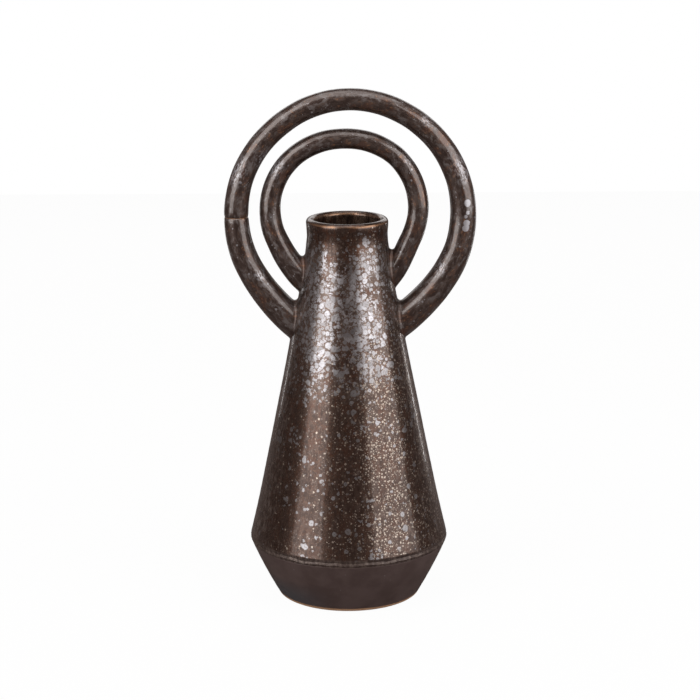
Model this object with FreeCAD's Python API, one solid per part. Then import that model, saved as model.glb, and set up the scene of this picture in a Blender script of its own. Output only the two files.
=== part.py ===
import FreeCAD, Part
import math
import os
from collections import namedtuple

# Urn vase with a conical body, a keeled belly and two ring handles over its mouth.
# It is made as a potter makes it: two thrown halves joined at the belly with soft
# clay, solid coils bent into rings and pressed on, and clay worked round each root.
# Millimetres and degrees, +Z up, the origin at the centre of the foot on the axis of
# the body. The rings stand in the XZ plane, left is towards -X, and angles round a
# ring start at +X and pass over its top.

Vector = FreeCAD.Vector

# Lower half: a flaring bowl with a trimmed foot ring
foot_radius = 50.1
foot_rounding = 1.2
foot_ring_width = 7.5
foot_recess = 3.0
foot_recess_taper = 2.0
floor_thickness = 7.0
floor_corner_radius = 12.0
lower_wall_bulge = 0.75

# Belly, where the halves meet
belly_radius = 70.0
belly_height = 41.0
wall = 5.2

# Soft clay that fills the bevel between the halves and stands up as a ridge
seam_depth = 2.6
seam_half_height = 2.0
lower_rim_drop = 0.55
upper_rim_drop = 0.3
seam_groove_depth = 0.35
seam_ridge_height_share = 0.4
seam_shoulder_height_share = 0.68
seam_groove_height_share = 0.84

# Upper half: a long, slightly hollow cone with a waisted neck and a rounded lip
mouth_radius = 22.8
lip_thickness = 5.65
lip_centre_height = 267.3
waist_drop = 9.3
neck_drop = 18.3
neck_flare = 0.85
cone_height_shares = (0.130, 0.325, 0.710)
cone_drop_shares = (0.154, 0.356, 0.742)

# Outer ring handle: the line through the middle of its coil, then the coil itself
outer_ring_offset = 1.7
outer_ring_rise = 4.4
outer_ring_half_width = 78.25
outer_ring_half_height = 80.3
outer_coil_top = 15.2
outer_seam_angle = 181.5
outer_left_leave_angle = 198.5
outer_left_root_drop = 74.5
outer_left_root_angle = 41.0
outer_left_fullness_share = 0.31
outer_left_coil_root = 22.5
outer_left_swell_share = 0.154
outer_right_leave_angle = -13.5
outer_right_root_drop = 74.4
outer_right_root_angle = 38.0
outer_right_fullness_share = 0.33
outer_right_coil_root = 22.4
outer_right_swell_share = 0.277

# Inner ring handle, which stands clear of the outer one all round
inner_ring_offset = -1.9
inner_ring_rise = 4.5
ring_gap_top = 12.05
ring_gap_side = 12.5
inner_coil_top = 13.9
inner_left_leave_angle = 203.5
inner_left_root_gap = 4.6
inner_left_root_angle = 45.0
inner_left_fullness_share = 0.36
inner_left_coil_root = 18.8
inner_right_leave_angle = -25.0
inner_right_root_gap = 6.2
inner_right_root_angle = 53.0
inner_right_fullness_share = 0.34
inner_right_coil_root = 16.0
inner_swell_share = 0.0625

# The top of a ring, and how far a coil runs on behind the wall before it is cut to it
ring_top_angle = 90.0
root_overrun = 16.0

# Clay worked into the corner round each root: a hollow fillet
outer_fillet_radius = 2.4
inner_fillet_radius = 1.8

# An edge is known by its place to within this share of the rounding there, and faces
# this near to each other count as one when a fillet is cut free
match_share = 0.1
cut_tolerance = 0.002

# How many cross-sections each stretch of a coil is drawn through
seam_section_count = 7
below_seam_section_count = 2
ring_section_count = 9
leg_section_count = 4


def at(x, z):
    return Vector(x, 0, z)


def between(low, high, share):
    return low + (high - low) * share


def steps(first, last, count):
    """Even steps from the first value up to, but not including, the last."""
    return [between(first, last, step / count) for step in range(count)]


def line(start, end):
    return Part.makeLine(start, end)


def arc(start, middle, end):
    return Part.Arc(start, middle, end).toShape()


def spline(points, start_direction, end_direction):
    curve = Part.BSplineCurve()
    curve.interpolate(Points=points, InitialTangent=start_direction, FinalTangent=end_direction)
    return curve


def turned(edges):
    """The solid that an outline in the XZ plane makes when it is turned on the wheel."""
    axis_point = Vector(0, 0, 0)
    axis_way = Vector(0, 0, 1)
    face = Part.Face(Part.Wire(edges))
    # The turn starts at the back, so that no surface begins under a handle.
    face.rotate(axis_point, axis_way, 90)
    return face.revolve(axis_point, axis_way, 360)


# Places on the two walls that more than one piece needs
seam_root = at(belly_radius - seam_depth, belly_height)
joint_inside = at(belly_radius - wall, belly_height)
lower_rim = at(belly_radius - lower_rim_drop, belly_height - seam_half_height)
upper_rim = at(belly_radius - upper_rim_drop, belly_height + seam_half_height)
neck = at(mouth_radius + wall + neck_flare, lip_centre_height - neck_drop)
waist = at(mouth_radius + wall, lip_centre_height - waist_drop)
lip_outside = at(mouth_radius + lip_thickness, lip_centre_height)
lip_inside = at(mouth_radius, lip_centre_height)
floor_height = foot_recess + floor_thickness


def lower_wall(share, inset):
    """A point that share of the way up the lower wall, that far inside its face."""
    radius = between(foot_radius, lower_rim.x, share)
    bulge = between(0, lower_wall_bulge, 4 * share * (1 - share))
    return at(radius + bulge - inset, between(0, lower_rim.z, share))


def cone_points(inset):
    """The points that the cone's outline passes through, from the belly to the neck."""
    points = [at(upper_rim.x - inset, upper_rim.z)]
    for height_share, drop_share in zip(cone_height_shares, cone_drop_shares):
        radius = between(upper_rim.x, neck.x, drop_share)
        height = between(upper_rim.z, neck.z, height_share)
        points.append(at(radius - inset, height))
    points.append(at(neck.x - inset, neck.z))
    return points


def cone_start_direction(inset):
    points = cone_points(inset)
    return (points[1] - points[0]).normalize()


def outer_cone_curve():
    points = cone_points(0) + [waist, lip_outside]
    return spline(points, cone_start_direction(0), Vector(0, 0, 1))


def inner_cone_curve():
    points = [joint_inside] + cone_points(wall)[1:]
    points += [at(waist.x - wall, waist.z), lip_inside]
    return spline(points, cone_start_direction(wall), Vector(0, 0, 1))


def lip_edge():
    top = at(mouth_radius + lip_thickness / 2, lip_centre_height + lip_thickness / 2)
    return arc(lip_outside, top, lip_inside)


def upper_body():
    edges = [line(seam_root, upper_rim), outer_cone_curve().toShape(), lip_edge()]
    edges += [inner_cone_curve().toShape(), line(joint_inside, seam_root)]
    return turned(edges)


def lower_body():
    recess_top = foot_radius - foot_ring_width - foot_recess_taper
    floor_share = floor_height / lower_rim.z
    middle_share = between(floor_share, 1, 0.5)
    floor_corner = lower_wall(floor_share, wall)
    inside_middle = lower_wall(middle_share, wall)
    edges = [line(at(0, foot_recess), at(recess_top, foot_recess))]
    edges.append(line(at(recess_top, foot_recess), at(foot_radius - foot_ring_width, 0)))
    edges.append(line(at(foot_radius - foot_ring_width, 0), at(foot_radius, 0)))
    edges.append(arc(at(foot_radius, 0), lower_wall(0.5, 0), lower_rim))
    edges.append(line(lower_rim, seam_root))
    edges.append(line(seam_root, joint_inside))
    edges.append(arc(joint_inside, inside_middle, floor_corner))
    edges.append(line(floor_corner, at(0, floor_height)))
    edges.append(line(at(0, floor_height), at(0, foot_recess)))
    bowl = turned(edges)
    bowl = bowl.makeFillet(foot_rounding, ring_edges(bowl, foot_radius, 0))
    return bowl.makeFillet(floor_corner_radius, ring_edges(bowl, floor_corner.x, floor_height))


def ring_edges(solid, radius, height):
    """The level edges of a turned solid at that radius and height."""
    allowed = foot_rounding * match_share
    found = []
    for edge in solid.Edges:
        box = edge.BoundBox
        flat = box.ZLength < allowed
        level = abs(box.Center.z - height) < allowed
        wide = abs(box.XMax - radius) < allowed
        if flat and level and wide:
            found.append(edge)
    return found


def belly_seam():
    ridge = at(belly_radius, between(lower_rim.z, upper_rim.z, seam_ridge_height_share))
    shoulder_height = between(lower_rim.z, upper_rim.z, seam_shoulder_height_share)
    shoulder = at(upper_rim.x, shoulder_height)
    groove_height = between(lower_rim.z, upper_rim.z, seam_groove_height_share)
    groove = at(upper_rim.x - seam_groove_depth, groove_height)
    edges = [line(seam_root, lower_rim), arc(lower_rim, ridge, shoulder)]
    edges += [arc(shoulder, groove, upper_rim), line(upper_rim, seam_root)]
    return turned(edges)


def body_block():
    """The body's outside as one full solid, which the handles are cut to."""
    foot = at(foot_radius, 0)
    edges = [line(at(0, 0), foot), arc(foot, lower_wall(0.5, 0), lower_rim)]
    edges += [line(lower_rim, upper_rim), outer_cone_curve().toShape()]
    edges.append(line(lip_outside, at(0, lip_centre_height)))
    edges.append(line(at(0, lip_centre_height), at(0, 0)))
    return turned(edges)


def cone_radius(height):
    """How far the cone's outside stands from the axis at that height."""
    level = Part.LineSegment(at(0, height), at(belly_radius, height))
    return outer_cone_curve().intersectCC(level)[0].X


Ring = namedtuple("Ring", "offset height half_width half_height coil_top")
Leg = namedtuple("Leg", ["side", "leave_angle", "root_height", "root_angle", "fullness_share",
                         "coil_root", "swell_share"])


def outer_ring():
    return Ring(outer_ring_offset, lip_centre_height + outer_ring_rise, outer_ring_half_width,
                outer_ring_half_height, outer_coil_top)


def inner_ring():
    outside = outer_ring()
    both_coils = (outer_coil_top + inner_coil_top) / 2
    half_width = outside.half_width - both_coils - ring_gap_side
    half_height = outside.half_height - both_coils - ring_gap_top - inner_ring_rise
    return Ring(inner_ring_offset, outside.height + inner_ring_rise, half_width, half_height,
                inner_coil_top)


def outer_leg(side):
    ring_height = outer_ring().height
    if side < 0:
        return Leg(side, outer_left_leave_angle, ring_height - outer_left_root_drop,
                   outer_left_root_angle, outer_left_fullness_share, outer_left_coil_root,
                   outer_left_swell_share)
    return Leg(side, outer_right_leave_angle, ring_height - outer_right_root_drop,
               outer_right_root_angle, outer_right_fullness_share, outer_right_coil_root,
               outer_right_swell_share)


def half_rise(coil_root, root_angle):
    """How far a slanting coil reaches above its middle on an upright wall."""
    return coil_root / 2 / math.cos(math.radians(root_angle))


def inner_leg(side):
    """The leg of the inner ring, whose root stands clear above the outer one's."""
    below = outer_leg(side)
    top_of_lower = below.root_height + half_rise(below.coil_root, below.root_angle)
    if side < 0:
        above = half_rise(inner_left_coil_root, inner_left_root_angle) + inner_left_root_gap
        return Leg(side, inner_left_leave_angle, top_of_lower + above, inner_left_root_angle,
                   inner_left_fullness_share, inner_left_coil_root, inner_swell_share)
    above = half_rise(inner_right_coil_root, inner_right_root_angle) + inner_right_root_gap
    return Leg(side, inner_right_leave_angle, top_of_lower + above, inner_right_root_angle,
               inner_right_fullness_share, inner_right_coil_root, inner_swell_share)


def ring_station(ring, side, angle):
    """A point on the ring's middle line, and the way down from the top on that side."""
    turn = math.radians(angle)
    point = at(ring.offset + ring.half_width * math.cos(turn),
               ring.height + ring.half_height * math.sin(turn))
    way = Vector(ring.half_width * math.sin(turn), 0, -ring.half_height * math.cos(turn))
    return point, way.normalize() * side


def root_station(leg):
    """The point on the wall where a leg meets it, and the way in which it runs in."""
    turn = math.radians(leg.root_angle)
    point = at(leg.side * cone_radius(leg.root_height), leg.root_height)
    return point, Vector(-leg.side * math.cos(turn), 0, -math.sin(turn))


def leg_stations(ring, leg):
    """A smooth bend from the end of the ring to the root, and a straight overrun."""
    start, way = ring_station(ring, leg.side, leg.leave_angle)
    root, way_in = root_station(leg)
    reach = leg.fullness_share * start.distanceToPoint(root)
    bend = Part.BezierCurve()
    bend.setPoles([start, start + way * reach, root - way_in * reach, root])
    stations = []
    for share in steps(0, 1, leg_section_count):
        stations.append((bend.value(share), bend.tangent(share)[0]))
    stations.append((root, way_in))
    stations.append((root + way_in * root_overrun, way_in))
    return stations


def half_handle(ring, leg, angles):
    """Cross-sections from the top of a ring down to its root: place, way and radius."""
    stations = [ring_station(ring, leg.side, angle) for angle in angles]
    stations += leg_stations(ring, leg)
    run = [0]
    for station, next_station in zip(stations, stations[1:]):
        run.append(run[-1] + station[0].distanceToPoint(next_station[0]))
    run_to_root = run[-2]
    # Half way down, the coil has swelled by the leg's swell share of what it will.
    power = math.log(leg.swell_share) / math.log(0.5)
    sections = []
    for (point, way), length in zip(stations, run):
        swollen = min(length / run_to_root, 1) ** power
        sections.append((point, way, between(ring.coil_top, leg.coil_root, swollen) / 2))
    return sections


def turned_round(sections):
    """The same sections, read from the root up to the top of the ring."""
    return [(point, way * -1, radius) for point, way, radius in reversed(sections)]


def coil(sections):
    wires = []
    for point, way, radius in sections:
        circle = Part.Circle(point, way, radius)
        circle.XAxis = Vector(0, 1, 0)
        wires.append(Part.Wire(circle.toShape()))
    return Part.makeLoft(wires, True, False)


def root_fillet(block, handle, leg, radius):
    """The clay in the corner round a root: a rolled fillet, less what it lies on."""
    meeting = block.section(handle)
    joined = block.fuse(handle)
    corner = []
    for edge in joined.Edges:
        end = edge.Vertexes[0]
        on_side = leg.side * end.X > 0
        if on_side and edge.isClosed() and end.distToShape(meeting)[0] < radius * match_share:
            corner.append(edge)
    return one_solid(joined.makeFillet(radius, corner).cut([joined], cut_tolerance))


def one_solid(shape):
    """The one solid that a cut leaves, without the compound round it."""
    solids = shape.Solids
    if len(solids) != 1:
        raise ValueError("a piece came out as %d solids" % len(solids))
    return solids[0]


def outer_handle_pieces(block):
    """Two lengths of coil that butt on the left, and the clay round their roots."""
    left_leg = outer_leg(-1)
    right_leg = outer_leg(1)
    to_seam = steps(ring_top_angle, outer_seam_angle, seam_section_count)
    below_seam = steps(outer_seam_angle, left_leg.leave_angle, below_seam_section_count)
    to_right = steps(ring_top_angle, right_leg.leave_angle, ring_section_count)
    left = half_handle(outer_ring(), left_leg, to_seam + below_seam)
    right = half_handle(outer_ring(), right_leg, to_right)
    long_coil = coil(turned_round(left[:seam_section_count + 1]) + right[1:])
    short_coil = coil(left[seam_section_count:])
    return {
        "outer_handle_long": one_solid(long_coil.cut(block)),
        "outer_handle_short": one_solid(short_coil.cut(block)),
        "outer_root_left": root_fillet(block, short_coil, left_leg, outer_fillet_radius),
        "outer_root_right": root_fillet(block, long_coil, right_leg, outer_fillet_radius),
    }


def inner_handle_pieces(block):
    """One length of coil, and the clay round its roots."""
    left_leg = inner_leg(-1)
    right_leg = inner_leg(1)
    to_left = steps(ring_top_angle, left_leg.leave_angle, ring_section_count)
    to_right = steps(ring_top_angle, right_leg.leave_angle, ring_section_count)
    left = half_handle(inner_ring(), left_leg, to_left)
    right = half_handle(inner_ring(), right_leg, to_right)
    whole_coil = coil(turned_round(left) + right[1:])
    return {
        "inner_handle": one_solid(whole_coil.cut(block)),
        "inner_root_left": root_fillet(block, whole_coil, left_leg, inner_fillet_radius),
        "inner_root_right": root_fillet(block, whole_coil, right_leg, inner_fillet_radius),
    }


def build():
    block = body_block()
    parts = {"upper_body": upper_body(), "lower_body": lower_body(), "belly_seam": belly_seam()}
    parts.update(outer_handle_pieces(block))
    parts.update(inner_handle_pieces(block))
    return parts


os.makedirs("parts", exist_ok=True)
for name, solid in build().items():
    solid.exportStep("parts/" + name + ".step")
    print(name, "valid", solid.isValid(), "volume", round(solid.Volume / 1000, 2), "cm3")
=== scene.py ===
import math
from bisect import bisect_right

import bmesh
import bpy
from mathutils import Matrix, Vector, noise
from mathutils.geometry import interpolate_bezier


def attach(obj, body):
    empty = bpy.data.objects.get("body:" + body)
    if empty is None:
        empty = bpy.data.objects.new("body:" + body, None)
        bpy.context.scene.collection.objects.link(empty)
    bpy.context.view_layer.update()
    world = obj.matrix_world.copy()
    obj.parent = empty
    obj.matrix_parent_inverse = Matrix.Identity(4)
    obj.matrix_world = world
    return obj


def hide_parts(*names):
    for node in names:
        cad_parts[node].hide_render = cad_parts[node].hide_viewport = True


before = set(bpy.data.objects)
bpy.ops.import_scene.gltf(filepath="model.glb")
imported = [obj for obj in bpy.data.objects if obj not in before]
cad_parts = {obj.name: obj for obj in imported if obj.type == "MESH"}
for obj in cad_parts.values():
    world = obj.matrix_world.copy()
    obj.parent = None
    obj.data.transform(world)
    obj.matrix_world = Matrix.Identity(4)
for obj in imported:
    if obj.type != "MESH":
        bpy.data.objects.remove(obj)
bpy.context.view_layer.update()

# Urn vase: a conical body with a keeled belly, a bare foot and two ring handles.
# Metres, +Z up, the origin at the centre of the foot. The rings stand in the XZ plane,
# left is towards -X, and angles round a ring start at +X and pass over its top.
mm = 0.001

# Lower half
foot_radius = 50.1 * mm
foot_rounding = 1.2 * mm
foot_ring_width = 7.5 * mm
foot_recess = 3.0 * mm
foot_recess_taper = 2.0 * mm
floor_height = 10.0 * mm
floor_corner_radius = 12.0 * mm
floor_corner_inset = 0.62 * floor_corner_radius
lower_wall_bulge = 0.75 * mm

# Shares of the lower wall's height: where its outside starts over the foot's rounding,
# where its inside starts below the rim, and how far above the floor the inside ends
outside_start = 0.06
inside_start = 0.98
inside_end_rise = 0.24

# Belly, where the halves meet
belly_radius = 70.0 * mm
belly_height = 41.0 * mm
wall = 5.2 * mm
seam_depth = 2.6 * mm
seam_half_height = 2.0 * mm
lower_rim_drop = 0.55 * mm
upper_rim_drop = 0.3 * mm

# Upper half
mouth_radius = 22.8 * mm
lip_thickness = 5.65 * mm
lip_centre_height = 267.3 * mm
waist_drop = 9.3 * mm
neck_drop = 18.3 * mm
neck_flare = 0.85 * mm
cone_height_shares = (0.130, 0.325, 0.710)
cone_drop_shares = (0.154, 0.356, 0.742)

# Clay worked into the corner round each root: the radius of its hollow
outer_fillet_radius = 2.4 * mm
inner_fillet_radius = 2.1 * mm

# How finely the pieces are divided
turn_count = 288
bead_turn_count = 720
bead_row_count = 26
coil_side_count = 64
coil_step = 1.3 * mm
fillet_turn_count = 160
fillet_row_count = 9
same_place = 0.001 * mm

upwards = Vector((0, 0, 1))
backwards = Vector((0, 1, 0))


def at(x, z):
    """A place in the XZ plane."""
    return Vector((x, 0, z))


def between(low, high, share):
    return low + (high - low) * share


def steps(first, last, count):
    """Even steps from the first value to the last, both of them included."""
    return [between(first, last, step / count) for step in range(count + 1)]


def hump(gap, spread):
    """1 at a gap of 0, easing to nothing on both sides. The spread says how wide it is."""
    return math.exp(-(gap / spread) ** 2)


def smooth_line(points, first_way, last_way, count):
    """A smooth line through the points, with that many steps in each stretch."""
    ways = [first_way.normalized()]
    for before, here, after in zip(points, points[1:], points[2:]):
        near_gap, far_gap = (here - before).length, (after - here).length
        way = (here - before) * (far_gap / near_gap) + (after - here) * (near_gap / far_gap)
        ways.append(way / (near_gap + far_gap))
    ways.append(last_way.normalized())
    line = []
    for start, end, way, next_way in zip(points, points[1:], ways, ways[1:]):
        third = (end - start).length / 3
        handles = start + way * third, end - next_way * third
        line += interpolate_bezier(start, *handles, end, count + 1)[:-1]
    return line + [points[-1]]


def arc_points(centre, radius, first_angle, last_angle, count):
    """Points on an arc in the XZ plane. Angle 0 is away from the axis, and 90 is up."""
    line = []
    for angle in steps(first_angle, last_angle, count):
        turn = math.radians(angle)
        line.append(centre + at(radius * math.cos(turn), radius * math.sin(turn)))
    return line


# Places on the walls that more than one piece needs
seam_root = at(belly_radius - seam_depth, belly_height)
joint_inside = at(belly_radius - wall, belly_height)
lower_rim = at(belly_radius - lower_rim_drop, belly_height - seam_half_height)
upper_rim = at(belly_radius - upper_rim_drop, belly_height + seam_half_height)
neck = at(mouth_radius + wall + neck_flare, lip_centre_height - neck_drop)
waist = at(mouth_radius + wall, lip_centre_height - waist_drop)
lip_outside = at(mouth_radius + lip_thickness, lip_centre_height)
lip_inside = at(mouth_radius, lip_centre_height)
lip_middle = at(mouth_radius + lip_thickness / 2, lip_centre_height)


def cone_points(inset):
    """The points that shape the cone, moved in from its outside."""
    points = [at(upper_rim.x - inset, upper_rim.z)]
    for height_share, drop_share in zip(cone_height_shares, cone_drop_shares):
        radius = between(upper_rim.x, neck.x, drop_share)
        points.append(at(radius - inset, between(upper_rim.z, neck.z, height_share)))
    points.append(at(neck.x - inset, neck.z))
    return points


def cone_line(count):
    """The outside of the upper half, from the belly to the lip."""
    points = cone_points(0) + [waist, lip_outside]
    return smooth_line(points, points[1] - points[0], upwards, count)


cone_measure = cone_line(60)
cone_heights = [point.z for point in cone_measure]


def cone_radius(height):
    """How far the cone's outside stands from the axis at that height."""
    index = min(max(bisect_right(cone_heights, height), 1), len(cone_heights) - 1)
    low, high = cone_measure[index - 1], cone_measure[index]
    return between(low.x, high.x, (height - low.z) / (high.z - low.z))


def lower_wall(share, inset):
    """A point on the lower wall, moved in from its outside, at a share of its height."""
    radius = between(foot_radius, lower_rim.x, share)
    bulge = between(0, lower_wall_bulge, 4 * share * (1 - share))
    return at(radius + bulge - inset, between(0, lower_rim.z, share))


# Slow unevenness of a wall thrown by hand, and the faint spiral that fingers leave
throwing_depth = 0.14 * mm
throwing_size = 34 * mm
finger_depth = 0.03 * mm
finger_pitch = 7.5 * mm


def throwing(point):
    """How far the thrown wall stands out at that place."""
    lean = noise.noise(point / throwing_size)
    spiral = math.atan2(point.y, point.x) + math.tau * point.z / finger_pitch
    return lean * throwing_depth + math.sin(spiral) * finger_depth


def wall_distance(point):
    """How far a place is from the cone's outside, and the way out from the wall there."""
    across = Vector((point.x, point.y, 0))
    fall = (cone_radius(point.z - mm) - cone_radius(point.z + mm)) / (2 * mm)
    out = (across.normalized() + upwards * fall).normalized()
    share = out.dot(across.normalized())
    return (across.length - cone_radius(point.z) - throwing(point)) * share, out


def finished(name, mesh, node, material):
    """Makes the object of a finished mesh, hangs it under the root body and hides the CAD part that
    it stands in for.
    """
    bmesh.ops.recalc_face_normals(mesh, faces=mesh.faces[:])
    data = bpy.data.meshes.new(name)
    mesh.to_mesh(data)
    mesh.free()
    data.shade_smooth()
    data.materials.append(material)
    piece = bpy.data.objects.new(name, data)
    bpy.context.scene.collection.objects.link(piece)
    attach(piece, "root")
    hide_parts(node)
    return piece


def turned(line, closed, count):
    """Spins an outline round the axis of the body, from the back."""
    mesh = bmesh.new()
    corners = [mesh.verts.new((0, point.x, point.z)) for point in line]
    for corner, next_corner in zip(corners, corners[1:]):
        mesh.edges.new((corner, next_corner))
    if closed:
        mesh.edges.new((corners[-1], corners[0]))
    bmesh.ops.spin(mesh, geom=mesh.verts[:] + mesh.edges[:], cent=(0, 0, 0), axis=(0, 0, 1),
                   angle=math.tau, steps=count, use_merge=True)
    bmesh.ops.remove_doubles(mesh, verts=mesh.verts[:], dist=same_place)
    return mesh


def throw_unevenly(mesh):
    """Moves the walls in and out as throwing leaves them, except close to the axis."""
    for point in mesh.verts:
        across = Vector((point.co.x, point.co.y, 0))
        if across.length > mouth_radius / 2:
            point.co += across.normalized() * throwing(point.co)


def body_cone(material):
    outside = cone_line(18)
    lip = arc_points(lip_middle, lip_thickness / 2, 0, 180, 24)[1:-1]
    points = [joint_inside] + cone_points(wall)[1:] + [at(waist.x - wall, waist.z), lip_inside]
    inside = smooth_line(points, points[1] - points[0], upwards, 8)
    mesh = turned([seam_root] + outside + lip + inside[::-1], True, turn_count)
    throw_unevenly(mesh)
    return finished("body_cone", mesh, "upper_body", material)


def foot_outline():
    """The underside, from the middle of the recess, over the foot ring and its rounding."""
    recess_edge = foot_radius - foot_ring_width - foot_recess_taper
    foot, above_foot = lower_wall(0, 0), lower_wall(0.05, 0)
    lean = math.degrees(math.atan2(above_foot.x - foot.x, above_foot.z))
    reach = foot_rounding * math.tan(math.radians(90 - lean) / 2)
    line = [at(0, foot_recess), at(recess_edge / 2, foot_recess), at(recess_edge, foot_recess)]
    line += [at(foot_radius - foot_ring_width, 0), at(foot_radius - reach - foot_rounding, 0)]
    centre = at(foot_radius - reach, foot_rounding)
    return line + arc_points(centre, foot_rounding, -90, -lean, 8)


def bowl_inside():
    """The inside of the bowl, down the wall and round the corner to the middle of the floor."""
    floor_share = floor_height / lower_rim.z
    wall_shares = steps(inside_start, floor_share + inside_end_rise, 8)
    line = [lower_wall(share, wall) for share in wall_shares]
    corner = lower_wall(floor_share, wall)
    centre = at(corner.x - floor_corner_inset, floor_height + floor_corner_radius)
    line += arc_points(centre, floor_corner_radius, -20, -90, 8)
    return line + [at(corner.x * 0.4, floor_height), at(0, floor_height)]


def lower_bowl(material):
    outside = [lower_wall(share, 0) for share in steps(outside_start, 1, 36)]
    line = foot_outline() + outside + [seam_root, joint_inside] + bowl_inside()
    mesh = turned(line, False, turn_count)
    throw_unevenly(mesh)
    return finished("lower_bowl", mesh, "lower_body", material)


# The bead of soft clay between the halves: a pale ridge under a dark groove, ragged where
# a finger smeared it. Places up the bead and the spread are shares of its height.
bead_ridge = 0.40 * mm
bead_ridge_share = 0.34
bead_groove = 0.40 * mm
bead_groove_share = 0.80
bead_spread = 0.16
bead_crumbs = 0.2 * mm

# How closely the bead's long waves, short waves and crumbs follow one another, how far the
# waves carry its lines up and down, and how fast it fades in at its edges
long_wave_count = 3.1
short_wave_count = 21.0
crumb_count = 75.0
crumb_rise = 4
long_wander = 0.20
short_wander = 0.15
lower_fade = 9
upper_fade = 12


def bead_move(way, share):
    """How far the bead stands out, on that side of the body and at that share of its height."""
    long_wave = noise.noise(way * long_wave_count)
    short_wave = noise.noise(way * short_wave_count)
    crumbs = noise.noise(way * crumb_count + upwards * share * crumb_rise)
    wander = long_wave * long_wander + short_wave * short_wander
    ridge = hump(share - bead_ridge_share - wander, bead_spread) * bead_ridge
    groove = hump(share - bead_groove_share - wander, bead_spread) * bead_groove
    move = ridge * (1 + short_wave) - groove * (0.9 + long_wave) + crumbs * bead_crumbs
    return move * min(share * lower_fade, (1 - share) * upper_fade, 1)


def belly_bead(material):
    rows = [lower_rim.lerp(upper_rim, share) for share in steps(0, 1, bead_row_count)]
    mesh = turned([seam_root] + rows, True, bead_turn_count)
    for point in mesh.verts:
        out = Vector((point.co.x, point.co.y, 0))
        if out.length > seam_root.x + mm:
            share = (point.co.z - lower_rim.z) / (upper_rim.z - lower_rim.z)
            way = out.normalized()
            point.co += way * (throwing(point.co) + bead_move(way, share))
    return finished("belly_bead", mesh, "belly_seam", material)


class RingLine:
    """The middle line of a ring, and the thickness of its coil on top, in millimetres. Each
    bend has an angle, a spread in degrees and a move outwards."""

    def __init__(self, offset, height, half_width, half_height, coil_top, bends):
        self.centre = at(offset * mm, height * mm)
        self.half_width = half_width * mm
        self.half_height = half_height * mm
        self.coil_top = coil_top * mm
        self.bends = bends

    def station(self, side, angle):
        """The place at that angle, and the way down that side of the ring."""
        turn = math.radians(angle)
        reach = 1
        for bend_angle, spread, move in self.bends:
            reach += move * mm / self.half_width * hump(angle - bend_angle, spread)
        arm = at(self.half_width * math.cos(turn), self.half_height * math.sin(turn))
        way = at(self.half_width * math.sin(turn), -self.half_height * math.cos(turn))
        return self.centre + arm * reach, way.normalized() * side


class Leg:
    """One leg of a ring, from the angle where it leaves the ring to its root on the wall. The
    root's height and the coil's thickness there are in millimetres, and the root's angle is
    how steeply the coil goes down into the wall."""

    def __init__(self, side, leave_angle, root_height, root_angle, fullness, coil_root, swell):
        turn = math.radians(root_angle)
        self.side = side
        self.leave_angle = leave_angle
        self.fullness = fullness
        self.coil_root = coil_root * mm
        self.swell = swell
        self.root = at(side * cone_radius(root_height * mm), root_height * mm)
        self.way_in = at(-side * math.cos(turn), -math.sin(turn))


# Unevenness of a coil rolled and bent by hand
rolling_depth = 0.15 * mm
rolling_size = 13 * mm


def rolling(point):
    """How far the rolled coil stands out at that place."""
    return noise.noise(point / rolling_size) * rolling_depth


# A coil's middle line: its steps round the ring and down the leg, and how far it runs on
# behind the wall
ring_step_count = 160
leg_step_count = 80
overrun = 18.0 * mm

# The search for where a coil's skin meets the wall: how far before the root it starts, and
# how often it halves what is left. The search for an angle tries that many runs.
search_lead = 26.0 * mm
halving_count = 22
angle_search_count = 2000


class HalfCoil:
    """Half a handle, from the ring's top down to the root: a place, a way and a radius
    for each length of run."""

    def __init__(self, ring, leg):
        angles = steps(90, leg.leave_angle, ring_step_count)
        line = [ring.station(leg.side, angle)[0] for angle in angles]
        start, way = ring.station(leg.side, leg.leave_angle)
        reach = (leg.root - start).length * leg.fullness
        handles = start + way * reach, leg.root - leg.way_in * reach
        line += interpolate_bezier(start, *handles, leg.root, leg_step_count)[1:]
        line.append(leg.root + leg.way_in * overrun)
        self.ring, self.leg, self.line = ring, leg, line
        self.runs = [0]
        for point, next_point in zip(line, line[1:]):
            self.runs.append(self.runs[-1] + (next_point - point).length)
        self.root_run = self.runs[-2]

    def place(self, run):
        index = min(max(bisect_right(self.runs, run), 1), len(self.runs) - 1)
        share = (run - self.runs[index - 1]) / (self.runs[index] - self.runs[index - 1])
        return self.line[index - 1].lerp(self.line[index], share)

    def way(self, run):
        return (self.place(run + mm) - self.place(run - mm)).normalized()

    def radius(self, run):
        swollen = min(run / self.root_run, 1) ** self.leg.swell
        return between(self.ring.coil_top, self.leg.coil_root, swollen) / 2

    def run_at_angle(self, angle):
        """The run at which the ring has turned to that angle."""
        target = self.ring.station(self.leg.side, angle)[0]
        runs = steps(0, self.root_run, angle_search_count)
        return min(runs, key=lambda run: (self.place(run) - target).length)

    def skin(self, run, turn, grow=0.0):
        """A point on the coil's skin. A turn of 0 is the back, and pi / 2 the ring's outside."""
        outwards = self.way(run).cross(backwards) * -self.leg.side
        out = backwards * math.cos(turn) + outwards * math.sin(turn)
        surface = self.place(run) + out * self.radius(run)
        return surface + out * (rolling(surface) + grow)

    def along(self, run, turn):
        """Where a point lies along and round the coil, for the glaze to follow."""
        radius = self.radius(run)
        return Vector((self.leg.side * run, radius * math.cos(turn), radius * math.sin(turn)))

    def run_to_depth(self, turn, grow, distance):
        """The run at which the skin, grown by that much, comes that near to the wall."""
        near_end, far_end = self.root_run - search_lead, self.root_run + overrun
        for halving in range(halving_count):
            middle = (near_end + far_end) / 2
            if wall_distance(self.skin(middle, turn, grow))[0] > distance:
                near_end = middle
            else:
                far_end = middle
        return near_end


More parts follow.
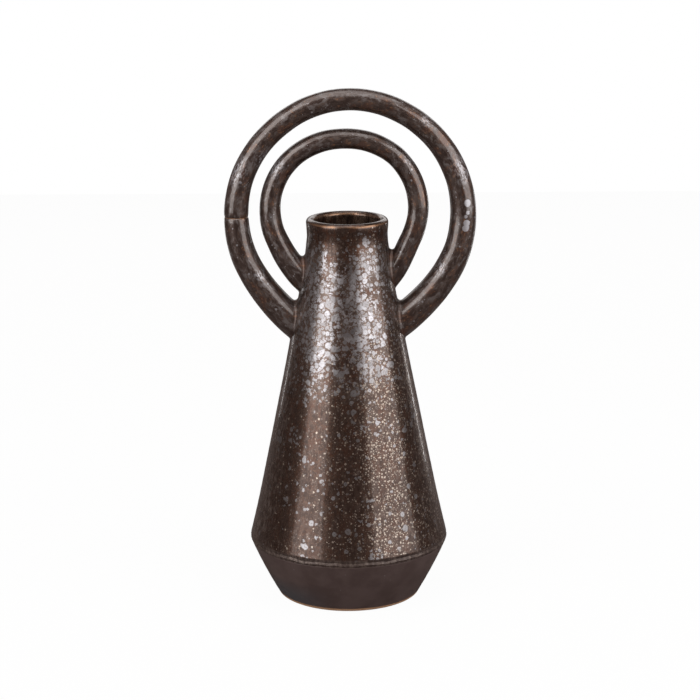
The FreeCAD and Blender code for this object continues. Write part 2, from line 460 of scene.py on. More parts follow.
# Where a ring bent by hand leaves its ellipse: the angle, how far round, and how far out
outer_bends = ((130, 22, -0.75), (20, 26, 0.35))
inner_bends = ((48, 20, 0.75), (95, 18, -0.45), (203, 16, 0.5), (-18, 16, -0.45))

outer_ring = RingLine(offset=1.7, height=271.7, half_width=78.25, half_height=80.3,
                      coil_top=15.2, bends=outer_bends)
outer_left_leg = Leg(side=-1, leave_angle=198.5, root_height=197.2, root_angle=41.0,
                     fullness=0.31, coil_root=22.5, swell=2.7)
outer_right_leg = Leg(side=1, leave_angle=-13.5, root_height=197.3, root_angle=38.0,
                      fullness=0.33, coil_root=22.4, swell=1.85)
outer_left = HalfCoil(outer_ring, outer_left_leg)
outer_right = HalfCoil(outer_ring, outer_right_leg)

inner_ring = RingLine(offset=-1.9, height=276.2, half_width=51.2, half_height=49.2,
                      coil_top=13.9, bends=inner_bends)
inner_left_leg = Leg(side=-1, leave_angle=203.5, root_height=229.1, root_angle=45.0,
                     fullness=0.36, coil_root=18.8, swell=4.0)
inner_right_leg = Leg(side=1, leave_angle=-25.0, root_height=231.0, root_angle=53.0,
                      fullness=0.34, coil_root=16.0, swell=4.0)
inner_left = HalfCoil(inner_ring, inner_left_leg)
inner_right = HalfCoil(inner_ring, inner_right_leg)

# The butt joint in the outer coil: both lengths draw in a little where they meet
outer_joint_run = outer_left.run_at_angle(180.4)
joint_pinch = 0.45 * mm
joint_pinch_run = 1.1 * mm

# How deep a coil's end sits in the wall
root_sink = 1.6 * mm

coil_turns = [math.tau * side / coil_side_count for side in range(coil_side_count)]


def coil_rings(half, first, last_runs):
    """Rings of skin points down half a handle. The last ring follows the wall."""
    count = round((max(last_runs) - first) / coil_step)
    rings = []
    for share in steps(0, 1, count):
        ring = []
        for turn, last in zip(coil_turns, last_runs):
            run = between(first, last, share)
            ring.append((half.skin(run, turn), half.along(run, turn)))
        rings.append(ring)
    return rings


def root_runs(half):
    return [half.run_to_depth(turn, 0, -root_sink) for turn in coil_turns]


def skin_over(rings, closed_round=False):
    """A skin grown from ring to ring. Each point keeps its place along and round the coil."""
    mesh = bmesh.new()
    side_of = mesh.verts.layers.int.new("side")
    along_of = mesh.verts.layers.float_vector.new("along")
    bmesh.ops.create_circle(mesh, segments=len(rings[0]), radius=mm)
    for side, corner in enumerate(mesh.verts):
        corner[side_of] = side
        corner.co, corner[along_of] = rings[0][side]
    first_edges = edges = mesh.edges[:]
    for ring in rings[1:]:
        grown = bmesh.ops.extrude_edge_only(mesh, edges=edges)["geom"]
        corners = {item for item in grown if isinstance(item, bmesh.types.BMVert)}
        edges = [item for item in grown if isinstance(item, bmesh.types.BMEdge)
                 and item.verts[0] in corners and item.verts[1] in corners]
        for corner in corners:
            corner.co, corner[along_of] = ring[corner[side_of]]
    if closed_round:
        bmesh.ops.remove_doubles(mesh, verts=mesh.verts[:], dist=same_place)
    else:
        bmesh.ops.contextual_create(mesh, geom=first_edges)
        bmesh.ops.contextual_create(mesh, geom=edges)
    return mesh


def pinch(rings, half, run):
    """Draws the rings in towards the middle line close to the joint."""
    for ring in rings:
        for side, (point, along) in enumerate(ring):
            gap = abs(abs(along.x) - run)
            if gap < joint_pinch_run * 3:
                out = (point - half.place(abs(along.x))).normalized()
                ring[side] = (point - out * joint_pinch * hump(gap, joint_pinch_run), along)
    return rings


def outer_handle_long(material):
    left = coil_rings(outer_left, 0, [outer_joint_run] * coil_side_count)
    right = coil_rings(outer_right, 0, root_runs(outer_right))
    mesh = skin_over(pinch(left, outer_left, outer_joint_run)[::-1] + right[1:])
    return finished("outer_coil_long", mesh, "outer_handle_long", material)


def outer_handle_short(material):
    rings = coil_rings(outer_left, outer_joint_run, root_runs(outer_left))
    mesh = skin_over(pinch(rings, outer_left, outer_joint_run))
    return finished("outer_coil_short", mesh, "outer_handle_short", material)


def inner_handle(material):
    left = coil_rings(inner_left, 0, root_runs(inner_left))
    right = coil_rings(inner_right, 0, root_runs(inner_right))
    mesh = skin_over(left[::-1] + right[1:])
    return finished("inner_coil", mesh, "inner_handle", material)


# The fillet's thin edges: how far they run out over the coil and the wall, how deep they
# end, and how deep the corner under the fillet lies
fillet_feather = 0.8 * mm
fillet_sink = 0.03 * mm
fillet_corner_sink = 0.6 * mm


def fillet_section(half, radius, turn):
    """The fillet cut across at that turn, from the coil down to the wall and back, and its
    place along the coil."""
    run = half.run_to_depth(turn, radius, radius)
    ball = half.skin(run, turn, radius)
    out = wall_distance(ball)[1]
    coil_way = (half.skin(run, turn) - ball).normalized()
    hollow = [ball + coil_way.slerp(-out, share) * radius
              for share in steps(0, 1, fillet_row_count)]
    up_coil = half.skin(run - fillet_feather, turn, -fillet_sink)
    off_wall = hollow[-1] + (hollow[-1] - hollow[-2]).normalized() * fillet_feather
    off_wall -= out * (wall_distance(off_wall)[0] + fillet_sink)
    meeting_run = half.run_to_depth(turn, 0, 0)
    corner = half.skin(meeting_run, turn, -fillet_corner_sink) - out * fillet_corner_sink
    return [up_coil] + hollow + [off_wall, corner], half.along(run, turn)


def root_fillet(name, node, half, radius, material):
    """The hollow of clay round a root: a ball of that radius, rolled round the corner."""
    rings = []
    for turn in steps(0, math.tau, fillet_turn_count):
        section, along = fillet_section(half, radius, turn)
        rings.append([(point, along) for point in section])
    return finished(name, skin_over(rings, True), node, material)


class Nodes:
    """Short names for the shader nodes that the glazes are made of."""

    def __init__(self, tree):
        self.tree = tree

    def fill(self, node, values):
        """Links the values that are another node's results, and sets the plain ones."""
        for socket, value in values.items():
            if isinstance(value, bpy.types.NodeSocket):
                self.tree.links.new(value, node.inputs[socket])
            else:
                node.inputs[socket].default_value = value

    def add(self, kind, values=None, **settings):
        node = self.tree.nodes.new(kind)
        for name, value in settings.items():
            setattr(node, name, value)
        self.fill(node, values or {})
        return node

    def math(self, operation, first, second=0.0):
        values = {0: first, 1: second}
        return self.add("ShaderNodeMath", values, operation=operation).outputs[0]

    def times(self, *values):
        product = values[0]
        for value in values[1:]:
            product = self.math("MULTIPLY", product, value)
        return product

    def plus(self, first, second):
        return self.math("ADD", first, second)

    def minus(self, first, second):
        return self.math("SUBTRACT", first, second)

    def larger(self, first, second):
        return self.math("MAXIMUM", first, second)

    def vector(self, operation, first, second):
        values = {0: first, 1: second}
        return self.add("ShaderNodeVectorMath", values, operation=operation).outputs[0]

    def stretched(self, place, shares):
        return self.vector("MULTIPLY", place, shares)

    def dot(self, first, second):
        values = {0: first, 1: second}
        return self.add("ShaderNodeVectorMath", values, operation="DOT_PRODUCT").outputs["Value"]

    def length(self, vector):
        return self.math("SQRT", self.dot(vector, vector))

    def parts(self, vector):
        return self.add("ShaderNodeSeparateXYZ", {0: vector}).outputs

    def place(self):
        return self.add("ShaderNodeTexCoord").outputs["Object"]

    def noise(self, place, size, detail, rough=0.5, result="Fac"):
        values = {"Vector": place, "Scale": 1 / size, "Detail": detail, "Roughness": rough}
        return self.add("ShaderNodeTexNoise", values).outputs[result]

    def bump(self, height, strength, depth):
        values = {"Strength": strength, "Distance": depth, "Height": height}
        return self.add("ShaderNodeBump", values).outputs["Normal"]

    def ease(self, value, low, high, first=0.0, last=1.0):
        """Eases from the first to the last while the value goes from low to high."""
        values = {"Value": value, "From Min": low, "From Max": high, "To Min": first, "To Max": last}
        node = self.add("ShaderNodeMapRange", values, interpolation_type="SMOOTHSTEP")
        return node.outputs["Result"]

    def blend(self, share, first, second):
        """The first colour, with that share of the second over it."""
        colours = [value if isinstance(value, bpy.types.NodeSocket) else (*value, 1)
                   for value in (first, second)]
        values = {0: share, 6: colours[0], 7: colours[1]}
        return self.add("ShaderNodeMix", values, data_type="RGBA").outputs[2]

    def mix(self, share, first, second):
        values = {0: share, 2: first, 3: second}
        return self.add("ShaderNodeMix", values, data_type="FLOAT").outputs[0]


def new_group(name, places, numbers, results):
    """An empty node group: its nodes, what it is given, and where its results go."""
    group = bpy.data.node_groups.new(name, "ShaderNodeTree")
    kinds = [(places, "INPUT", "NodeSocketVector"), (numbers, "INPUT", "NodeSocketFloat"),
             (results, "OUTPUT", "NodeSocketFloat")]
    for sockets, side, kind in kinds:
        for socket in sockets:
            group.interface.new_socket(socket, in_out=side, socket_type=kind)
    nodes = Nodes(group)
    return group, nodes, nodes.add("NodeGroupInput").outputs, nodes.add("NodeGroupOutput")


# Crystals: where the edge of a disc starts to fade, the gap between neighbours, and where
# the pit in the middle fades away
disc_edge = 0.78
disc_gap = 0.16 * mm
pit_outside = 0.36 * mm
pit_inside = 0.18 * mm


def make_discs():
    """Round crystals that lie flat on a surface: how far they cover it, the dark pits in
    their middles, and a chance value for each of them."""
    group, nodes, given, results = new_group(
        "glaze discs", ["Place"], ["Cell", "Least", "Most", "Share"], ["Cover", "Pit", "Chance"])
    pattern = {"Vector": given["Place"], "Scale": nodes.math("DIVIDE", 1.0, given["Cell"])}
    cells = nodes.add("ShaderNodeTexVoronoi", pattern).outputs
    gap = nodes.vector("SUBTRACT", given["Place"], cells["Position"])
    normal = nodes.add("ShaderNodeNewGeometry").outputs["Normal"]
    upright = nodes.dot(gap, normal)
    level = nodes.minus(nodes.dot(gap, gap), nodes.times(upright, upright))
    distance = nodes.math("SQRT", nodes.larger(level, 0.0))
    chance = nodes.add("ShaderNodeSeparateColor", {0: cells["Color"]}).outputs
    radius = nodes.mix(nodes.times(chance[0], chance[0]), given["Least"], given["Most"])
    there = nodes.math("LESS_THAN", chance[1], given["Share"])
    inside = nodes.ease(distance, radius, nodes.times(radius, disc_edge))
    edges = nodes.add("ShaderNodeTexVoronoi", pattern, feature="DISTANCE_TO_EDGE").outputs
    to_edge = nodes.times(edges["Distance"], given["Cell"])
    cover = nodes.times(inside, there, nodes.ease(to_edge, 0.0, disc_gap, 0.25, 1.0))
    pit = nodes.times(nodes.ease(distance, pit_outside, pit_inside), cover)
    nodes.fill(results, {"Cover": cover, "Pit": pit, "Chance": chance[2]})
    return group


def discs(nodes, group, place, share, cell, least, most):
    """One layer of discs: the share of the cells that have one, and the sizes of a cell and
    of the least and the most radius, in millimetres."""
    values = {"Place": place, "Share": share}
    values.update({"Cell": cell * mm, "Least": least * mm, "Most": most * mm})
    return nodes.add("ShaderNodeGroup", values, node_tree=group).outputs


def wobbled(nodes, place, size, depth):
    """The place, moved about a little, so that round things come out less than round."""
    move = nodes.noise(place, size, 1.0, result="Color")
    move = nodes.vector("SUBTRACT", move, (0.5, 0.5, 0.5))
    return nodes.vector("ADD", place, nodes.stretched(move, (depth, depth, depth)))


def near(nodes, place, centre, reach, sharpness):
    """1 close to a centre, easing to 0 at the reach. Both are given in millimetres."""
    gap = nodes.vector("SUBTRACT", place, tuple(value * mm for value in centre))
    return nodes.ease(nodes.length(gap), reach * mm, reach * sharpness * mm)


def new_glaze(name):
    material = bpy.data.materials.new(name)
    material.use_nodes = True
    return material, Nodes(material.node_tree), material.node_tree.nodes["Principled BSDF"]


def gloss(nodes, shader, place, grain, weight, index):
    """The clear skin of the glaze, which ripples and pools a little."""
    ripple = nodes.plus(nodes.noise(place, 5.5 * mm, 3.0), nodes.times(grain, 0.14))
    nodes.fill(shader, {
        "Coat Weight": weight,
        "Coat Roughness": 0.07,
        "Coat IOR": index,
        "Coat Normal": nodes.bump(ripple, 0.42, 0.20 * mm),
    })


# Colours of the body, the coils, the bowl and the bare clay
dark_bronze = (0.043, 0.023, 0.017)
mid_bronze = (0.098, 0.063, 0.050)
pale_bronze = (0.19, 0.145, 0.125)
rust = (0.100, 0.045, 0.028)
freckle_brown = (0.150, 0.088, 0.062)
haze_grey = (0.26, 0.205, 0.175)
thread_grey = (0.25, 0.20, 0.18)
dull_silver = (0.27, 0.255, 0.26)
bright_silver = (0.55, 0.54, 0.57)
warm_speck = (0.52, 0.44, 0.37)
inside_tan = (0.27, 0.18, 0.13)
bead_dark = (0.066, 0.044, 0.037)
bead_pale = (0.150, 0.112, 0.096)
coil_rust = (0.128, 0.058, 0.037)
coil_brown = (0.062, 0.038, 0.031)
coil_bronze = (0.130, 0.095, 0.082)
# Rust at the roots, made darker as painted shade in the crease
root_rust_and_shade = (0.105, 0.052, 0.035)
bowl_dark = (0.088, 0.059, 0.054)
bowl_pale = (0.122, 0.086, 0.080)
bowl_blue = (0.088, 0.092, 0.104)
orange_clay = (0.36, 0.19, 0.10)
bare_clay = (0.62, 0.36, 0.21)

# Where more crystals crowd together: on the neck and over the seam. Each centre and reach
# in these three lists is in millimetres.
body_clusters = (((13.5, -25.2, 261.0), 4.0), ((14.5, -25.0, 256.0), 4.5),
                 ((18.3, -66.5, 46.0), 7.0))

# Painted highlights on the coils: high on the sides of both rings, and on the outer ring's legs
painted_coil_highlights = (((-80, -7, 306), 16), ((-53, -7, 309), 13), ((56, -7, 340), 8), ((45, -7, 312), 8),
               ((-60, -9, 232), 6), ((63, -9, 236), 7), ((83, -6, 306), 15))

# Silver spots one above the other on the outer ring: a round one, two small ones close
# together, and a long one
ring_spots = (((82.8, -8.5, 281.2), 2.7), ((82.9, -8.6, 274.6), 1.5), ((81.4, -8.7, 272.0), 1.4),
              ((82.1, -8.7, 267.4), 2.5), ((81.5, -8.7, 263.8), 2.7))


class BodySkin:
    """What the body's glaze follows at each place: where it lies, its grain, blotches and
    clumps, and how closely the crystals crowd."""

    def __init__(self, nodes):
        place = nodes.place()
        parts = nodes.parts(place)
        across, height = parts[0], parts[2]
        self.place, self.across, self.height = place, across, height
        self.from_axis = nodes.length(nodes.stretched(place, (1, 1, 0)))
        self.inside = nodes.ease(self.from_axis, mouth_radius + 1.8 * mm, mouth_radius + 0.4 * mm)
        outside = nodes.ease(self.from_axis, mouth_radius + 0.4 * mm, mouth_radius + 1.8 * mm)
        above_seam = nodes.ease(height, upper_rim.z, upper_rim.z + 2 * mm)
        self.open_wall = nodes.times(outside, above_seam)
        self.grain = nodes.noise(nodes.stretched(place, (1, 1, 0.35)), 2.4 * mm, 6.0, 0.70)
        self.blotch = nodes.noise(place, 13 * mm, 4.0, 0.6)
        self.clump = nodes.noise(place, 21 * mm, 4.0, 0.6)
        self.flock = nodes.ease(nodes.noise(place, 9 * mm, 3.0, 0.6), 0.38, 0.56, 0.35, 1.0)
        self.ragged = wobbled(nodes, place, 2.0 * mm, 1.0 * mm)
        lift = nodes.times(nodes.minus(self.clump, 0.5), 0.16)
        below_neck = nodes.ease(height, 262 * mm, 243 * mm)
        self.crowd = nodes.times(nodes.ease(nodes.plus(height, lift), 132 * mm, 200 * mm), below_neck)
        left_side = nodes.ease(across, 34 * mm, 14 * mm, 0.20, 1.0)
        self.leftness = nodes.times(left_side, nodes.ease(across, -36 * mm, -24 * mm, 0.40, 1.0))


def bronze_ground(nodes, skin):
    """A fine brown grain with paler blotches, a lace of rust and small freckles."""
    colour = nodes.blend(nodes.ease(skin.grain, 0.30, 0.68), dark_bronze, mid_bronze)
    pale = nodes.times(nodes.ease(skin.grain, 0.5, 0.75), nodes.ease(skin.blotch, 0.42, 0.66), 0.6)
    colour = nodes.blend(pale, colour, pale_bronze)
    vein = nodes.math("ABSOLUTE", nodes.minus(skin.blotch, 0.5))
    upper = nodes.ease(skin.height, 60 * mm, 190 * mm, 0.45, 0.9)
    colour = nodes.blend(nodes.times(nodes.ease(vein, 0.05, 0.0), upper), colour, rust)
    freckle = nodes.ease(nodes.noise(skin.place, 1.0 * mm, 2.0), 0.54, 0.64)
    return nodes.blend(nodes.times(freckle, skin.flock, 0.75), colour, freckle_brown)


def faint_marks(nodes, skin, disc_group, colour):
    """A haze round the crowded crystals, dim discs, and pale threads down both sides."""
    haze = nodes.times(skin.crowd, skin.leftness, nodes.ease(skin.clump, 0.36, 0.55), 0.35)
    colour = nodes.blend(haze, colour, haze_grey)
    dim_share = nodes.times(nodes.ease(skin.clump, 0.60, 0.35, 0.10, 0.55), skin.open_wall)
    dim = discs(nodes, disc_group, skin.ragged, dim_share, 2.2, 0.3, 1.1)
    colour = nodes.blend(nodes.times(dim["Cover"], 0.6), colour, pale_bronze)
    thread = nodes.noise(nodes.stretched(skin.place, (1, 1, 0.07)), 1.5 * mm, 3.0, 0.6)
    sideways = nodes.math("DIVIDE", nodes.math("ABSOLUTE", skin.across), skin.from_axis)
    patches = nodes.times(nodes.ease(skin.blotch, 0.36, 0.52), nodes.ease(sideways, 0.74, 0.90))
    threads = nodes.times(nodes.ease(thread, 0.50, 0.60), patches, 0.8)
    return nodes.blend(threads, colour, thread_grey)


def warm_specks(nodes, skin, disc_group, colour):
    """Small warm specks, thick on the lower right and thin elsewhere."""
    right_side = nodes.ease(skin.across, 0.0, 16 * mm)
    rightness = nodes.times(right_side, nodes.ease(skin.across, 46 * mm, 30 * mm, 0.35, 1.0))
    low = nodes.ease(skin.height, 195 * mm, 160 * mm, 0.15, 1.0)
    thin = nodes.times(nodes.ease(skin.across, -26 * mm, -8 * mm, 0.06, 0.26),
                       nodes.ease(skin.height, 215 * mm, 190 * mm, 0.1, 1.0))
    scatter = nodes.mix(nodes.times(rightness, low, skin.flock), thin, 0.85)
    share = nodes.times(scatter, skin.open_wall)
    specks = discs(nodes, disc_group, skin.ragged, share, 1.8, 0.22, 0.95)
    return nodes.blend(nodes.times(specks["Cover"], 0.8), colour, warm_speck)


def crystal_share(nodes, skin):
    """The share of the cells that have a crystal: many below the neck, and few elsewhere."""
    few = nodes.ease(skin.clump, 0.42, 0.68, 0.02, 0.26)
    many = nodes.times(nodes.ease(skin.clump, 0.33, 0.50, 0.15, 1.0), skin.leftness)
    below_lip = nodes.ease(skin.height, lip_centre_height - 1.8 * mm, lip_centre_height - 3.3 * mm)
    share = nodes.times(nodes.mix(skin.crowd, few, many), skin.open_wall, below_lip)
    for centre, reach in body_clusters:
        share = nodes.larger(share, near(nodes, skin.place, centre, reach, 0.5))
    return share


def silver_crystals(nodes, skin, disc_group, colour):
    """Three sizes of silver crystal over the colour, with worn places and dark pits. Puts
    out how far they cover it as well."""
    share = crystal_share(nodes, skin)
    large = discs(nodes, disc_group, skin.ragged, share, 4.3, 1.0, 2.8)
    medium = discs(nodes, disc_group, skin.ragged, nodes.times(share, 0.85), 2.7, 0.5, 1.7)
    small_share = nodes.times(share, skin.crowd, 0.7)
    small = discs(nodes, disc_group, skin.ragged, small_share, 1.5, 0.3, 0.9)
    cover = nodes.larger(large["Cover"], nodes.times(medium["Cover"], 0.85))
    cover = nodes.larger(cover, nodes.times(small["Cover"], 0.7))
    worn = nodes.ease(nodes.noise(skin.place, 1.3 * mm, 3.0, 0.6), 0.28, 0.52, 0.40, 1.0)
    cover = nodes.times(cover, worn)
    shine = nodes.times(large["Chance"], nodes.mix(skin.crowd, 0.35, 1.0))
    colour = nodes.blend(cover, colour, nodes.blend(shine, dull_silver, bright_silver))
    return nodes.blend(nodes.times(large["Pit"], 0.6), colour, dark_bronze), cover


def thin_edges(nodes, skin, on_bead, colour):
    """Tan where the glaze runs thin at the rim, tan mottling inside the mouth, and the bead's own
    browns.
    """
    rim = nodes.times(
        nodes.ease(skin.height, lip_centre_height + 0.25 * mm, lip_centre_height + 0.85 * mm),
        nodes.ease(skin.height, lip_centre_height + 2.0 * mm, lip_centre_height + 1.5 * mm),
        nodes.ease(skin.blotch, 0.35, 0.60, 0.2, 0.8))
    colour = nodes.blend(rim, colour, orange_clay)
    bead_colour = nodes.blend(nodes.ease(skin.grain, 0.44, 0.60), bead_dark, bead_pale)
    colour = nodes.blend(on_bead, colour, bead_colour)
    mottled = nodes.times(nodes.ease(skin.grain, 0.46, 0.58), skin.inside, 0.8)
    return nodes.blend(mottled, colour, inside_tan)


def body_glaze(disc_group):
    """Bronze lustre, with silver crystals that crowd together below the neck."""
    material, nodes, shader = new_glaze("body glaze")
    skin = BodySkin(nodes)
    height = skin.height
    on_bead = nodes.ease(height, upper_rim.z + 1.6 * mm, upper_rim.z + 0.4 * mm)
    colour = bronze_ground(nodes, skin)
    colour = faint_marks(nodes, skin, disc_group, colour)
    colour = warm_specks(nodes, skin, disc_group, colour)
    colour, cover = silver_crystals(nodes, skin, disc_group, colour)
    rough = nodes.mix(cover, nodes.ease(skin.grain, 0.3, 0.7, 0.32, 0.25), 0.31)
    relief = nodes.plus(nodes.times(skin.grain, 0.4), nodes.times(cover, 0.35))
    clear = nodes.ease(height, upper_rim.z - 0.5 * mm, upper_rim.z + 2 * mm, 0.05, 0.45)
    clear = nodes.plus(clear, nodes.ease(height, neck.z + 1 * mm, neck.z + 7 * mm, 0.0, -0.35))
    clear = nodes.plus(clear, nodes.ease(height, waist.z + 5 * mm, waist.z + 9 * mm, 0.0, 0.75))
    gloss(nodes, shader, skin.place, skin.grain, clear, 1.4)
    nodes.fill(shader, {
        "Base Color": thin_edges(nodes, skin, on_bead, colour),
        "Metallic": nodes.mix(on_bead, nodes.mix(cover, 0.8, 1.0), 0.4),
        "Roughness": nodes.mix(on_bead, rough, 0.42),
        "Normal": nodes.bump(relief, 0.35, 0.10 * mm),
    })
    return material


def coil_flecks_and_painted_highlights(nodes, place, along, patch, colour):
    """Painted highlights of bright silver in their places, and flecks of clay on the front of the
    coil.
    """
    fine = nodes.noise(nodes.stretched(along, (0.5, 1, 1)), 1.2 * mm, 3.0, 0.6)
    highlight_nearness = 0.0
    for centre, reach in painted_coil_highlights:
        highlight_nearness = nodes.larger(highlight_nearness, near(nodes, place, centre, reach, 0.3))
    # Painted highlight: bright silver in fine specks near each centre, standing in for the lamps'
    # reflection
    painted_highlight = nodes.times(nodes.ease(fine, 0.46, 0.58), highlight_nearness, 0.8)
    colour = nodes.blend(painted_highlight, colour, bright_silver)
    front = nodes.ease(nodes.parts(along)[1], -3.4 * mm, -6.0 * mm)
    flecks = nodes.times(nodes.ease(fine, 0.56, 0.64), nodes.ease(patch, 0.50, 0.58), front, 0.6)
    return nodes.blend(flecks, colour, orange_clay)


def handle_glaze(name, disc_group, joint_run=None, root_share=0.0):
    """The same lustre, drawn out in streaks along the coil. It is thin at the butt joint, and
    the root share makes it rustier, darker with painted shade in the crease, and duller."""
    material, nodes, shader = new_glaze(name)
    place = nodes.place()
    along = nodes.add("ShaderNodeAttribute", attribute_name="along").outputs["Vector"]
    drawn = wobbled(nodes, nodes.stretched(along, (0.50, 1, 1)), 5 * mm, 4.5 * mm)
    streak = nodes.noise(drawn, 3.2 * mm, 7.0, 0.74)
    patch = nodes.noise(nodes.stretched(drawn, (1.3, 1, 1)), 7 * mm, 5.0, 0.62)
    colour = nodes.blend(nodes.ease(streak, 0.40, 0.60), coil_brown, coil_bronze)
    colour = nodes.blend(nodes.times(nodes.ease(patch, 0.54, 0.62), 0.6), colour, coil_rust)
    grey = nodes.times(nodes.ease(streak, 0.50, 0.58), nodes.ease(patch, 0.54, 0.44), 0.45)
    colour = nodes.blend(grey, colour, dull_silver)
    colour = coil_flecks_and_painted_highlights(nodes, place, along, patch, colour)
    # Real rust where the glaze breaks at the root, darkened as painted shade in the crease
    rust_and_painted_shade = nodes.times(nodes.ease(patch, 0.44, 0.56), root_share)
    colour = nodes.blend(rust_and_painted_shade, colour, root_rust_and_shade)
    share = nodes.ease(patch, 0.58, 0.40, 0.01, 0.16)
    spots = discs(nodes, disc_group, wobbled(nodes, place, 1.6 * mm, 0.8 * mm), share, 2.6, 0.2, 0.9)
    colour = nodes.blend(nodes.times(spots["Cover"], 0.6), colour, bright_silver)
    ragged = wobbled(nodes, place, 2.5 * mm, 1.6 * mm)
    for centre, reach in ring_spots:
        spot = near(nodes, ragged, centre, reach, 0.8)
        colour = nodes.blend(nodes.times(spot, 0.9), colour, bright_silver)
    if joint_run:
        gap = nodes.math("ABSOLUTE", nodes.plus(nodes.parts(along)[0], joint_run))
        uneven = nodes.ease(patch, 0.3, 0.6, 0.25 * mm, 0.6 * mm)
        tan_line = nodes.times(nodes.ease(gap, uneven, 0.1 * mm), 0.8)
        colour = nodes.blend(tan_line, colour, orange_clay)
    relief = nodes.plus(nodes.times(streak, 0.8), nodes.times(spots["Cover"], 0.2))
    dulling = 0.1 * root_share
    gloss(nodes, shader, place, streak, 0.9 - 1.2 * root_share, 1.6)
    nodes.fill(shader, {
        "Base Color": colour,
        "Metallic": 0.7,
        "Roughness": nodes.ease(streak, 0.40, 0.60, 0.33 + dulling, 0.45 + dulling),
        "Normal": nodes.bump(relief, 0.4, 0.12 * mm),
    })
    return material


def base_glaze(disc_group):
    """A smooth brown satin, bluish on the lower left, wiped off the edge of the foot."""
    material, nodes, shader = new_glaze("base glaze")
    place = nodes.place()
    parts = nodes.parts(place)
    across, height = parts[0], parts[2]
    cloud = nodes.noise(place, 16 * mm, 5.0, 0.6)
    colour = nodes.blend(nodes.ease(cloud, 0.35, 0.65), bowl_dark, bowl_pale)
    lower_left = nodes.times(nodes.ease(across, -6 * mm, -45 * mm),
                             nodes.ease(height, 24 * mm, 4 * mm), 0.85)
    colour = nodes.blend(lower_left, colour, bowl_blue)
    share = nodes.ease(cloud, 0.4, 0.7, 0.02, 0.10)
    spots = discs(nodes, disc_group, wobbled(nodes, place, 2 * mm, 1 * mm), share, 4.5, 0.3, 1.1)
    colour = nodes.blend(nodes.times(spots["Cover"], 0.35), colour, dull_silver)
    edge = nodes.plus(height, nodes.times(cloud, 0.5 * mm))
    bare = nodes.ease(edge, 2.70 * mm, 2.15 * mm)
    nodes.fill(shader, {
        "Base Color": nodes.blend(bare, colour, bare_clay),
        "Metallic": 0.0,
        "Specular IOR Level": 0.5,
        "Roughness": nodes.mix(bare, nodes.ease(cloud, 0.3, 0.7, 0.36, 0.46), 0.85),
    })
    return material


# The stage and the studio: the grey that other rays see, the paper that takes the vase's
# shadow, the warm grey of the room, the two sheets, and the height that softboxes aim at
card_grey = (0.17, 0.14, 0.13, 1)
paper_white = (0.95, 0.95, 0.95, 1)
room_grey = (0.155, 0.124, 0.113, 1)
pure_white = (1, 1, 1, 1)

floor_half_size = 3.0
floor_shadow_share = 0.035
backdrop_half_size = 1.6
backdrop_centre = (0, 1.6, 1.2)
softbox_aim = 0.2


def white_stage(name, shadow_share):
    """White to the camera, with a share of the object's shadow, and grey to other rays."""
    material = bpy.data.materials.new(name)
    material.use_nodes = True
    material.node_tree.nodes.clear()
    nodes = Nodes(material.node_tree)
    grey = nodes.add("ShaderNodeBsdfDiffuse", {"Color": card_grey}).outputs[0]
    lit = nodes.add("ShaderNodeBsdfDiffuse", {"Color": paper_white}).outputs[0]
    glow = nodes.add("ShaderNodeEmission", {"Strength": 1.0}).outputs[0]
    white = nodes.add("ShaderNodeMixShader", {0: shadow_share, 1: glow, 2: lit}).outputs[0]
    seen = nodes.add("ShaderNodeLightPath").outputs["Is Camera Ray"]
    both = nodes.add("ShaderNodeMixShader", {0: seen, 1: grey, 2: white}).outputs[0]
    nodes.add("ShaderNodeOutputMaterial", {"Surface": both})
    return material


def sheet(name, half_size, placing, shadow_share):
    """A flat white sheet of the stage."""
    mesh = bmesh.new()
    bmesh.ops.create_grid(mesh, x_segments=2, y_segments=2, size=half_size)
    bmesh.ops.transform(mesh, matrix=placing, verts=mesh.verts[:])
    data = bpy.data.meshes.new(name)
    mesh.to_mesh(data)
    mesh.free()
    data.materials.append(white_stage("white " + name, shadow_share))
    piece = bpy.data.objects.new(name, data)
    bpy.context.scene.collection.objects.link(piece)
    return piece


def stage():
    floor = sheet("floor", floor_half_size, Matrix.Identity(4), floor_shadow_share)
    upright = Matrix.Translation(backdrop_centre) @ Matrix.Rotation(math.radians(90), 4, "X")
    backdrop = sheet("backdrop", backdrop_half_size, upright, 0.0)


def area_light(name, azimuth, elevation, aim_height, distance, width, height, strength):
    """A light that faces the vase. Azimuth 0 is the camera's side, and 90 is +X."""
    turn, rise = math.radians(azimuth), math.radians(elevation)
    way = Vector((math.sin(turn) * math.cos(rise), -math.cos(turn) * math.cos(rise), math.sin(rise)))
    lamp = bpy.data.lights.new(name, "AREA")
    lamp.shape = "RECTANGLE"
    lamp.size, lamp.size_y = width, height
    lamp.energy = strength * math.pi * width * height
    holder = bpy.data.objects.new(name, lamp)
    holder.location = upwards * aim_height + way * distance
    holder.rotation_euler = way.to_track_quat("Z", "Y").to_euler()
    bpy.context.scene.collection.objects.link(holder)


def softbox(name, azimuth, elevation, distance, width, height, strength):
    area_light(name, azimuth, elevation, softbox_aim, distance, width, height, strength)


def rim_strip(name, azimuth, distance, aim_height, width, height, strength):
    """A narrow upright light behind the vase, which draws a thin line down its side."""
    area_light(name, azimuth, 0, aim_height, distance, width, height, strength)


def lights():
    """Large soft lights beside, above and behind the vase, and a strip behind each side."""
    softbox("left softbox", -50, 16, 1.6, 1.1, 2.2, 2.5)
    softbox("right softbox", 58, 14, 1.6, 1.7, 2.0, 2.0)
    softbox("top softbox", -20, 78, 1.9, 2.0, 2.0, 1.4)
    softbox("back softbox", 180, 24, 1.5, 1.8, 0.6, 1.0)
    rim_strip("right rim strip", 133, 0.55, 0.14, 0.014, 0.26, 8.0)
    rim_strip("left rim strip", -137, 0.55, 0.15, 0.010, 0.20, 6.0)


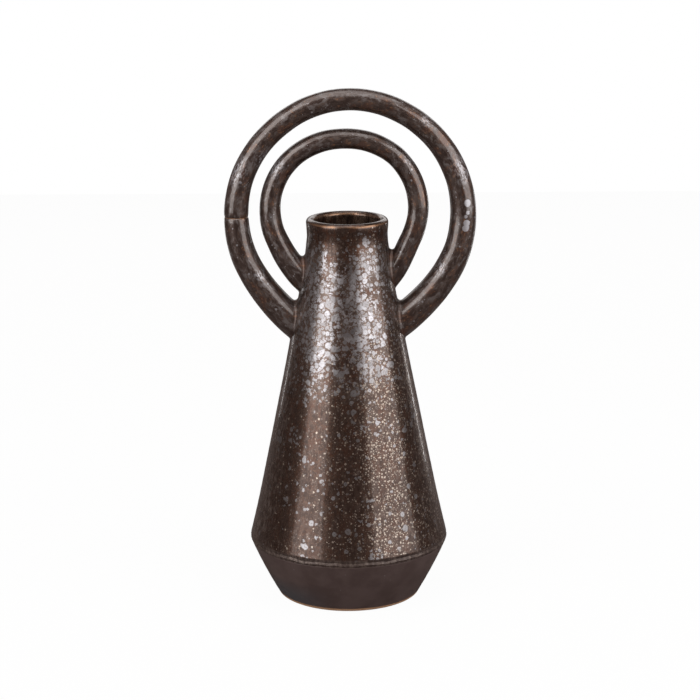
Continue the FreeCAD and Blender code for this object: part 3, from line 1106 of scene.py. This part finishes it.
def studio():
    """A warm grey room that lights the vase, and white where the camera sees it."""
    world = bpy.data.worlds.new("studio")
    world.use_nodes = True
    nodes = Nodes(world.node_tree)
    room = world.node_tree.nodes["Background"]
    nodes.fill(room, {"Color": room_grey})
    white = nodes.add("ShaderNodeBackground", {"Color": pure_white, "Strength": 1.0})
    seen = nodes.add("ShaderNodeLightPath").outputs["Is Camera Ray"]
    both = nodes.add("ShaderNodeMixShader", {0: seen, 1: room.outputs[0], 2: white.outputs[0]})
    nodes.fill(world.node_tree.nodes["World Output"], {"Surface": both.outputs[0]})
    bpy.context.scene.world = world
    bpy.context.scene.view_settings.view_transform = "Standard"


# The camera, worked out from the ellipses of the lip, the belly and the foot
camera_place = (0, -1.491, 0.5552)
camera_dip = 14.28
camera_roll = -0.3
sensor_width = 36
lens_length = 112.83
lens_shift = 0.0031


def camera():
    lens = bpy.data.cameras.new("camera")
    lens.sensor_width = sensor_width
    lens.lens = lens_length
    lens.shift_x = lens_shift
    holder = bpy.data.objects.new("camera", lens)
    pitch = Matrix.Rotation(math.radians(90 - camera_dip), 4, "X")
    roll = Matrix.Rotation(math.radians(camera_roll), 4, "Z")
    holder.matrix_world = Matrix.Translation(camera_place) @ pitch @ roll
    bpy.context.scene.collection.objects.link(holder)
    bpy.context.scene.camera = holder


disc_nodes = make_discs()
body = body_glaze(disc_nodes)
base = base_glaze(disc_nodes)
outer_coil = handle_glaze("outer handle glaze", disc_nodes, joint_run=outer_joint_run)
inner_coil = handle_glaze("inner handle glaze", disc_nodes)
root_clay = handle_glaze("root glaze", disc_nodes, root_share=0.5)
body_cone(body)
lower_bowl(base)
belly_bead(body)
outer_handle_long(outer_coil)
outer_handle_short(outer_coil)
inner_handle(inner_coil)
root_fillet("outer_left_fillet", "outer_root_left", outer_left, outer_fillet_radius, root_clay)
root_fillet("outer_right_fillet", "outer_root_right", outer_right, outer_fillet_radius, root_clay)
root_fillet("inner_left_fillet", "inner_root_left", inner_left, inner_fillet_radius, root_clay)
root_fillet("inner_right_fillet", "inner_root_right", inner_right, inner_fillet_radius, root_clay)
stage()
lights()
studio()
camera()
